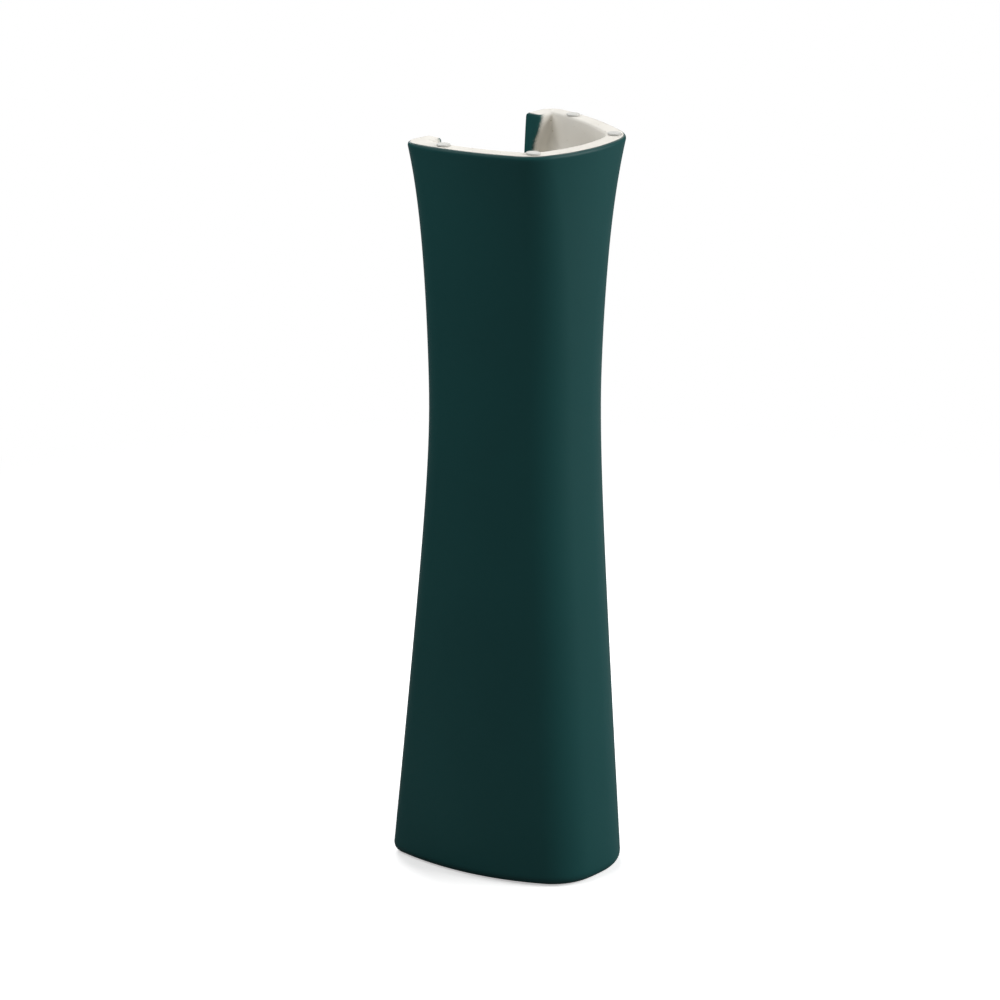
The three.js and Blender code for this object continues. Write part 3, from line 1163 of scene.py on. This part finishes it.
        low = self.foot_clear
        rings = [mouth(hole, low + chamfer), mouth(hole + chamfer, low), loop(2 * chamfer, low)]
        rings.append(loop(0.0, low + 2 * chamfer))
        turns = [QUARTER * k / 6 for k in range(7)]
        rings += [loop(soft * (1 - math.cos(a)), top - soft * (1 - math.sin(a))) for a in turns]
        rings += [mouth(hole + chamfer, top), mouth(hole, top - chamfer)]
        return skin(f"column_lug_{side.word}", rings, closed_loop=True)

    def _lug_outline(self, side: Side, screw: Vector) -> list[tuple[float, float]]:
        """The tongue's plan, from the screw, flaring where it meets the wall.

        Args:
            side: Which half it belongs to.
            screw: Where the screw stands.

        Returns:
            Points from the screw, anticlockwise.
        """
        radius, flare, steps = self.lug_radius, self.lug_flare, self.lug_edge_steps

        def wall_x(y: float) -> float:
            """How far the hidden end lies from the screw, at a distance along the wall."""
            return self.plan.side_x_at(screw.y + y, self.lug_fit_height, self.lug_sunk) - abs(screw.x)

        def edge(turn: int) -> list[tuple[float, float]]:
            """One long edge, from the middle of the tip to the wall.

            Args:
                turn: +1 for the edge behind the screw and -1 for the one before it.

            Returns:
                Its points from the screw.
            """
            turns = [QUARTER * k / 16 for k in range(16)]
            points = [(-radius * math.cos(a), turn * radius * math.sin(a)) for a in turns]
            for k in range(steps + 1):
                out, y = wall_x(0.0) * k / steps, turn * (radius + flare * (k / steps) ** 3)
                points.append((min(out, wall_x(y)), y))
                if out >= wall_x(y):
                    break
            return points

        upper, lower = edge(1), edge(-1)
        top, bottom = upper[-1][1], lower[-1][1]
        hidden = [top + (bottom - top) * k / 10 for k in range(1, 10)]
        outline = upper + [(wall_x(y), y) for y in hidden] + lower[:0:-1]
        if side is Side.RIGHT:
            return outline[::-1]
        return [(-x, y) for x, y in outline]

    def build_tie(self) -> bpy.types.Object:
        """Builds the low bar between the returns, flaring where it grows out of them.

        Returns:
            The tie.
        """
        back = self.plan.depth.foot / 2 - self.foot_round
        middle_y, half_y = back - self.tie_thickness / 2, self.tie_thickness / 2
        reach, steps = self.plan.half_width(0.0) - self.return_width / 2, self.tie_steps
        flare_start = self.plan.half_width(0.0) - self.return_width - self.tie_flare_before
        rings = []
        for k in range(steps + 1):
            x = reach * (2 * k / steps - 1)
            share = smooth_step((abs(x) - flare_start) / self.tie_flare_width)
            grown = self.tie_flare * share**1.5
            half, top = half_y + self.tie_side_flare * grown, self.tie_height + grown
            rings.append(self._bar_section(x, middle_y, half, top, self.tie_soft))
        return skin("column_tie", rings)

    def _bar_section(self, x: float, y: float, half: float, top: float, soft: float) -> Ring:
        """A rounded section of the tie, just clear of the floor.

        Args:
            x: Where it stands.
            y: Its middle.
            half: Half its thickness.
            top: Its height.
            soft: The radius of its corners.

        Returns:
            The section's points, anticlockwise seen from +X.
        """
        low = self.foot_clear + soft
        corners = [(half - soft, low, -QUARTER), (half - soft, top - soft, 0.0)]
        corners += [(soft - half, top - soft, QUARTER), (soft - half, low, math.pi)]
        ring = []
        for centre_y, centre_z, start in corners:
            for k in range(6):
                a = start + QUARTER * k / 5
                ring.append((x, y + centre_y + soft * math.cos(a), centre_z + soft * math.sin(a)))
        return ring

    def dress(self, finish: bpy.types.Material) -> None:
        """Builds every piece of the casting and gives it the glazed ceramic.

        Args:
            finish: The ceramic's material.
        """
        pieces = [self.build_wall(), self.build_tie()]
        pieces += [self.build_lug(side, node_centre(f"screw_cap_{side.word}")) for side in Side]
        for piece in pieces:
            settle(piece, Slot.GLAZE, finish, "column_shell")


# ---------------------------------------------------------------------------
# Fixings and buffers
# ---------------------------------------------------------------------------


@dataclass
class FloorFixing:
    """One floor screw with its nylon bush and its snap-on cap."""

    side: Side
    thread_pitch: float = 0.0026
    thread_depth: float = 0.0008
    head_height: float = 0.0045
    head_crown: float = 0.0009
    socket_across: float = 0.005
    socket_depth: float = 0.0026
    cap_wall: float = 0.0014
    bush_bore: float = 0.0033
    bush_sleeve: float = 0.0057
    bush_flange: float = 0.0024
    bush_soft: float = 0.0005
    shank_radius: float = 0.003
    head_soft: float = 0.0006
    tip_share: float = 0.45
    tip_length: float = 0.004
    rings_per_turn: int = 10
    socket_lip: float = 0.0003
    socket_mouth: float = 0.66
    cap_step: float = 0.00025
    cap_band: float = 0.0012
    cap_shoulder: float = 0.44
    cap_pip: float = 0.0004
    dome_steps: int = 13
    segments: int = 48

    def node(self, piece: str) -> str:
        """The frame node of one of this side's pieces."""
        return f"{piece}_{self.side.word}"

    def build_screw(self) -> bpy.types.Object:
        """Builds the screw: a threaded shank and a pan head with a hexagonal socket.

        Returns:
            The screw.
        """
        node, segments = self.node("floor_screw"), self.segments
        foot, size = node_centre(node), node_size(node)
        head, head_top, shank = size.x / 2, size.z, self.shank_radius
        head_bottom = head_top - self.head_height

        def thread(height: float) -> Ring:
            """A ring of the threaded shank.

            Args:
                height: Its height above the screw's foot.

            Returns:
                The ring.
            """
            tapered = min(1.0, self.tip_share + height / self.tip_length)

            def radius_at(a: float) -> float:
                """The thread's radius at an angle."""
                phase = (height / self.thread_pitch - a / (2 * math.pi)) % 1.0
                return (shank - self.thread_depth * (1 - max(0.0, 1.0 - abs(phase - 0.5) * 4))) * tapered

            return shaped_ring(foot, height, segments, radius_at)

        def socket(height: float) -> Ring:
            """A ring of the hexagonal socket."""
            half = self.socket_across / 2
            return shaped_ring(foot, height, segments, lambda a: half / math.cos(a % SIXTH - SIXTH / 2))

        count = round(head_bottom / self.thread_pitch * self.rings_per_turn)
        rings = [thread(head_bottom * k / count) for k in range(count + 1)]
        crown, soft = self.head_crown, self.head_soft
        pan = Profile(6).round((head - soft, head_bottom + soft), soft, -90, 0)
        pan.round((head - 2 * crown, head_top - 2 * crown), 2 * crown, 0, 90)
        rings += pan.rings(foot, segments)
        rings += [round_ring(foot, self.socket_across * self.socket_mouth, head_top, segments)]
        rings += [socket(head_top - self.socket_lip), socket(head_top - self.socket_depth)]
        return skin(node + "_piece", rings)

    def build_bush(self) -> bpy.types.Object:
        """Builds the flanged bush that keeps the screw off the ceramic.

        Returns:
            The bush.
        """
        node = self.node("screw_bush")
        foot, size = node_centre(node), node_size(node)
        flange, top = size.x / 2, size.z
        seat, soft = top - self.bush_flange, self.bush_soft
        sleeve, bore = self.bush_sleeve, self.bush_bore
        shape = Profile(4).to(bore, 0.0).round((sleeve - soft, soft), soft, -90, 0)
        shape.to(sleeve, seat).round((flange - soft, seat + soft), soft, -90, 0)
        shape.round((flange - 2 * soft, top - 2 * soft), 2 * soft, 0, 90)
        shape.round((bore + soft, top - soft), soft, 90, 180)
        return skin(node + "_piece", shape.rings(foot), closed_loop=True)

    def build_cap(self) -> bpy.types.Object:
        """Builds the domed cap, hollow, with a fine parting step round its skirt.

        Returns:
            The cap.
        """
        node = self.node("screw_cap")
        foot, size = node_centre(node), node_size(node)
        outer, top, wall = size.x / 2, size.z, self.cap_wall
        inner, shoulder, step = outer - wall, top * self.cap_shoulder, self.cap_step
        band, pip, steps = self.cap_band, self.cap_pip, self.dome_steps
        shape = Profile().to(inner, 0.0).to(outer - step, 0.0).to(outer, step).to(outer, band)
        shape.to(outer - step, band + step)
        for k in range(steps):
            a = QUARTER * k / steps
            shape.to((outer - step) * math.cos(a), shoulder + (top - shoulder) * math.sin(a))
        shape.to(pip, top)
        shape.to(pip, top - wall)
        for k in range(steps, 0, -1):
            a = QUARTER * (k - 1) / steps
            shape.to(inner * math.cos(a), shoulder + (top - wall - shoulder) * math.sin(a))
        return skin(node + "_piece", shape.rings(foot), closed_loop=True)

    def dress(self, steel: bpy.types.Material, nylon: bpy.types.Material, cap: bpy.types.Material) -> None:
        """Builds the three pieces and gives each its finish.

        Args:
            steel: The screw's material.
            nylon: The bush's material.
            cap: The cap's material.
        """
        settle(self.build_screw(), Slot.STEEL, steel, self.node("floor_screw"))
        settle(self.build_bush(), Slot.NYLON, nylon, self.node("screw_bush"))
        settle(self.build_cap(), Slot.CAP, cap, self.node("screw_cap"))


@dataclass
class BasinBuffers:
    """The four soft discs on the rim that the basin rests on."""

    places: tuple[str, ...] = ("front", "rear")
    edge: float = 0.0005
    least: float = 0.0002
    shoulder: float = 0.86
    dome_steps: int = 6

    def build(self, node: str) -> bpy.types.Object:
        """Builds one buffer, slightly domed.

        Args:
            node: The frame node that it stands for.

        Returns:
            The buffer.
        """
        foot, size = node_centre(node), node_size(node)
        radius, top, soft = size.x / 2, size.z, self.edge
        least = self.least
        shape = Profile(4).to(least, 0.0).to(radius - least, 0.0).to(radius, least)
        shape.round((radius - soft, top * self.shoulder - soft), soft, 0, 70)
        for k in range(self.dome_steps - 1, -1, -1):
            share = k / self.dome_steps
            crown = top * (1.0 - (1.0 - self.shoulder) * share**2)
            shape.to(max(least, (radius - soft) * share), crown)
        return skin(node + "_piece", shape.rings(foot))

    def dress(self, rubber: bpy.types.Material) -> None:
        """Builds the buffers and gives them their rubber.

        Args:
            rubber: Their material.
        """
        for place in self.places:
            for side in Side:
                node = f"basin_buffer_{place}_{side.word}"
                settle(self.build(node), Slot.RUBBER, rubber, node)


# ---------------------------------------------------------------------------
# Studio
# ---------------------------------------------------------------------------


@dataclass(frozen=True)
class SoftLight:
    """A large soft area light that faces a point of the column."""

    name: str
    azimuth: float
    elevation: float
    distance: float
    width: float
    height: float
    power: float

    def build(self, aim: Vector) -> None:
        """Makes the light.

        Args:
            aim: The point that it faces.
        """
        data = bpy.data.lights.new(self.name, "AREA")
        data.shape = "RECTANGLE"
        data.size, data.size_y, data.energy = self.width, self.height, self.power
        light = bpy.data.objects.new(self.name, data)
        away = direction(self.azimuth, self.elevation)
        light.location = aim + away * self.distance
        light.rotation_euler = away.to_track_quat("Z", "Y").to_euler()
        bpy.context.scene.collection.objects.link(light)


def direction(azimuth: float, elevation: float) -> Vector:
    """The direction from the column to a place round it.

    Args:
        azimuth: Degrees round from the nose's side, positive towards +X.
        elevation: Degrees above the horizon.

    Returns:
        A unit vector.
    """
    a, e = math.radians(azimuth), math.radians(elevation)
    return Vector((math.sin(a) * math.cos(e), -math.cos(a) * math.cos(e), math.sin(e)))


@dataclass
class Studio:
    """A pale floor, soft light and the camera."""

    camera_azimuth: float = -46.0
    camera_elevation: float = 19.48
    camera_distance: float = 2.8903
    lens: float = 115.63
    aim: Vector = field(default_factory=lambda: Vector((-0.0181, 0.0187, 0.3447)))
    floor_size: float = 60.0
    fade_start: float = 0.35
    fade_end: float = 1.3
    floor_seen: Colour = (0.9, 0.9, 0.9, 1.0)
    floor_thrown: Colour = (0.25, 0.25, 0.25, 1.0)
    floor_glow: float = 0.45
    surround_strength: float = 0.11
    lights: tuple[SoftLight, ...] = (
        SoftLight("key_light", 35.0, 26.0, 3.6, 1.8, 2.4, 124.0),
        SoftLight("fill_light", -105.0, 48.0, 1.6, 0.9, 0.9, 11.5),
        SoftLight("back_light", 148.0, 38.0, 3.2, 1.8, 1.8, 72.0),
    )

    def build_camera(self) -> None:
        """Makes the camera, aimed at the middle of the column."""
        data = bpy.data.cameras.new("camera")
        data.sensor_width, data.lens = 36.0, self.lens
        data.dof.use_dof = False
        data.clip_end = 200.0
        camera = bpy.data.objects.new("camera", data)
        away = direction(self.camera_azimuth, self.camera_elevation)
        camera.location = self.aim + away * self.camera_distance
        camera.rotation_euler = away.to_track_quat("Z", "Y").to_euler()
        bpy.context.scene.collection.objects.link(camera)
        bpy.context.scene.camera = camera

    def build_floor(self) -> None:
        """Makes the plain pale floor, which fades into the surround."""
        half = self.floor_size / 2
        corners = [(-half, -half, 0.0), (half, -half, 0.0), (half, half, 0.0), (-half, half, 0.0)]
        floor = make_object("floor", corners, [[0, 1, 2, 3]])
        material = bpy.data.materials.new("plain_floor")
        material.use_nodes = True
        tree = Tree(material.node_tree)
        tree.tree.nodes.clear()
        seen, thrown, glow = tree.add("BsdfDiffuse"), tree.add("BsdfDiffuse"), tree.add("Emission")
        seen.inputs["Color"].default_value = self.floor_seen
        thrown.inputs["Color"].default_value = self.floor_thrown
        glow.inputs["Strength"].default_value = self.floor_glow
        lit, far, faded = tree.add("AddShader"), tree.add("Emission"), tree.add("MixShader")
        tree.join(seen.outputs[0], lit.inputs[0])
        tree.join(glow.outputs[0], lit.inputs[1])
        reach = tree.add("VectorMath", operation="LENGTH")
        tree.join(tree.add("TexCoord").outputs["Object"], reach.inputs[0])
        fade = tree.spread(reach.outputs["Value"], self.fade_start, self.fade_end)
        tree.join(fade, faded.inputs[0])
        tree.join(lit.outputs[0], faded.inputs[1])
        tree.join(far.outputs[0], faded.inputs[2])
        chosen = tree.add("MixShader")
        tree.join(tree.add("LightPath").outputs["Is Camera Ray"], chosen.inputs[0])
        tree.join(thrown.outputs[0], chosen.inputs[1])
        tree.join(faded.outputs[0], chosen.inputs[2])
        tree.join(chosen.outputs[0], tree.add("OutputMaterial").inputs["Surface"])
        floor.data.materials.append(material)

    def build_world(self) -> None:
        """Makes the soft surround, white to the eye."""
        world = bpy.data.worlds.new("surround")
        world.use_nodes = True
        bpy.context.scene.world = world
        tree = Tree(world.node_tree)
        tree.tree.nodes.clear()
        seen, light = tree.add("Background"), tree.add("Background")
        seen.inputs["Color"].default_value = (1.0, 1.0, 1.0, 1.0)
        light.inputs["Color"].default_value = (1.0, 1.0, 1.0, 1.0)
        light.inputs["Strength"].default_value = self.surround_strength
        chosen = tree.add("MixShader")
        tree.join(tree.add("LightPath").outputs["Is Camera Ray"], chosen.inputs[0])
        tree.join(light.outputs[0], chosen.inputs[1])
        tree.join(seen.outputs[0], chosen.inputs[2])
        tree.join(chosen.outputs[0], tree.add("OutputWorld").inputs["Surface"])

    def build(self) -> None:
        """Makes the whole studio."""
        bpy.context.scene.view_settings.view_transform = "Standard"
        self.build_camera()
        self.build_floor()
        self.build_world()
        for light in self.lights:
            light.build(self.aim)
        log.info("studio: %d soft lights", len(self.lights))


# ---------------------------------------------------------------------------
# Assembly
# ---------------------------------------------------------------------------


def main() -> None:
    """Builds the studio, the column, its fixings and its buffers."""
    logging.basicConfig(level=logging.INFO, format="%(name)s: %(message)s")
    Studio().build()
    groups = SharedGroups()
    ceramic = GlazedCeramic().build(groups)
    steel = PlatedSteel().build(groups)
    nylon = MouldedPlastic(
        "natural_nylon", (0.72, 0.69, 0.62, 1.0), (0.62, 0.58, 0.5, 1.0), (0.82, 0.8, 0.75, 1.0), 0.5
    ).build(groups)
    cap = MouldedPlastic(
        "green_cap_plastic",
        (0.0085, 0.07, 0.07, 1.0),
        (0.008, 0.055, 0.057, 1.0),
        (0.05, 0.14, 0.13, 1.0),
        0.24,
    ).build(groups)
    rubber = MouldedPlastic(
        "pale_rubber", (0.6, 0.6, 0.57, 1.0), (0.52, 0.52, 0.5, 1.0), (0.68, 0.68, 0.66, 1.0), 0.72
    ).build(groups)
    plan = ColumnPlan(height=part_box("column_shell")[1].z)
    ColumnBody(plan).dress(ceramic)
    for side in Side:
        FloorFixing(side).dress(steel, nylon, cap)
    BasinBuffers().dress(rubber)


if __name__ == "__main__":
    main()
